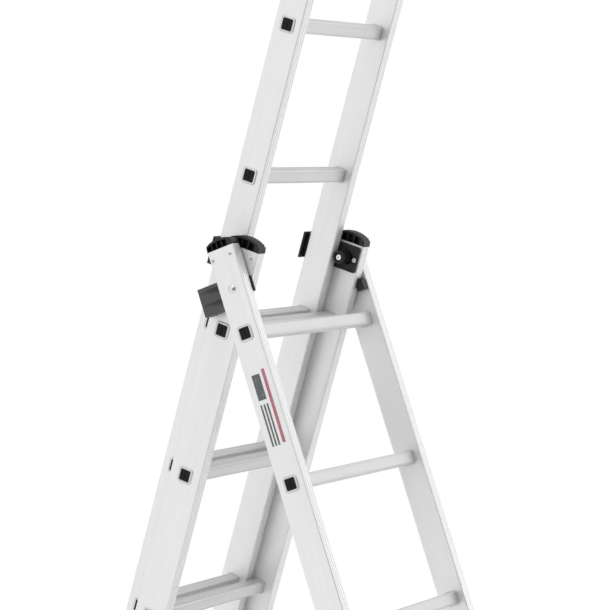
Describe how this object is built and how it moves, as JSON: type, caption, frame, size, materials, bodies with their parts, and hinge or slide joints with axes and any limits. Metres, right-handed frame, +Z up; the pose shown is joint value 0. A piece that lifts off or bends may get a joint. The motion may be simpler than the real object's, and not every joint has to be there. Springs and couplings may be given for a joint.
{
  "type": "attic ladder",
  "caption": "Aluminium combination ladder: two hinged sections stand as an A-frame and a narrower section slides up through the apex.",
  "frame": {"origin": "on the floor, at the middle of the base footprint with the legs open", "axes": "+Z up, -Y towards the foot of the wide front section, +X across the rungs to the right seen from the front"},
  "size_m": [0.808, 1.1158, 2.0813],
  "materials": {
    "black_plastic": "moulded, satin",
    "bolt_steel": "zinc plated",
    "foot_rubber": "matt",
    "grey_plastic": "moulded, satin",
    "hook_steel": "zinc plated",
    "label_dark": "printed film",
    "label_red": "printed film",
    "plug_plastic": "moulded, satin",
    "rivet_aluminium": "satin",
    "rung_aluminium": "satin mill finish",
    "stile_aluminium": "satin, lightly brushed along its length"
  },
  "bodies": {
    "rear_section": {"hinge_bushes": "bolt_steel", "rear_cap_left": "black_plastic", "rear_cap_right": "black_plastic", "rear_cap_rivets": "rivet_aluminium", "rear_foot_left": "foot_rubber", "rear_foot_right": "foot_rubber", "rear_guide_left": "black_plastic", "rear_guide_right": "black_plastic", "rear_guide_rivets": "rivet_aluminium", "rear_guide_screws": "bolt_steel", "rear_rung_1": "rung_aluminium", "rear_rung_2": "rung_aluminium", "rear_rung_3": "rung_aluminium", "rear_rung_4": "rung_aluminium", "rear_rung_5": "rung_aluminium", "rear_rung_6": "rung_aluminium", "rear_rung_plugs": "plug_plastic", "rear_stile_left": "stile_aluminium", "rear_stile_right": "stile_aluminium"},
    "front_section": {"front_cap_left": "black_plastic", "front_cap_right": "black_plastic", "front_cap_rivets": "rivet_aluminium", "front_foot_left": "foot_rubber", "front_foot_right": "foot_rubber", "front_label_bars": "label_dark", "front_label_stripe": "label_red", "front_rung_1": "rung_aluminium", "front_rung_2": "rung_aluminium", "front_rung_3": "rung_aluminium", "front_rung_4": "rung_aluminium", "front_rung_5": "rung_aluminium", "front_rung_6": "rung_aluminium", "front_rung_plugs": "plug_plastic", "front_stabiliser_bar": "rung_aluminium", "front_stabiliser_bolts": "bolt_steel", "front_stile_end_plugs": "black_plastic", "front_stile_left": "stile_aluminium", "front_stile_right": "stile_aluminium", "hinge_block_left": "grey_plastic", "hinge_block_right": "grey_plastic", "hinge_bracket_bolts": "bolt_steel", "hinge_claw_left": "black_plastic", "hinge_claw_right": "black_plastic", "hinge_pins": "bolt_steel"},
    "upper_section": {"upper_end_plugs": "black_plastic", "upper_hook_left": "hook_steel", "upper_hook_right": "hook_steel", "upper_hook_rivets": "rivet_aluminium", "upper_rung_1": "rung_aluminium", "upper_rung_2": "rung_aluminium", "upper_rung_3": "rung_aluminium", "upper_rung_4": "rung_aluminium", "upper_rung_5": "rung_aluminium", "upper_rung_6": "rung_aluminium", "upper_rung_plugs": "plug_plastic", "upper_stile_left": "stile_aluminium", "upper_stile_right": "stile_aluminium"}
  },
  "joints": [
    {"name": "front_section_hinge", "type": "hinge", "parent": "rear_section", "child": "front_section", "pos_m": [0, 0.05468, 1.47779], "axis": [1, 0, 0], "range_deg": [0, 28]},
    {"name": "upper_section_slide", "type": "slide", "parent": "rear_section", "child": "upper_section", "axis": [0, -0.3132, 0.9497], "range_m": [0, 0.21]}
  ]
}
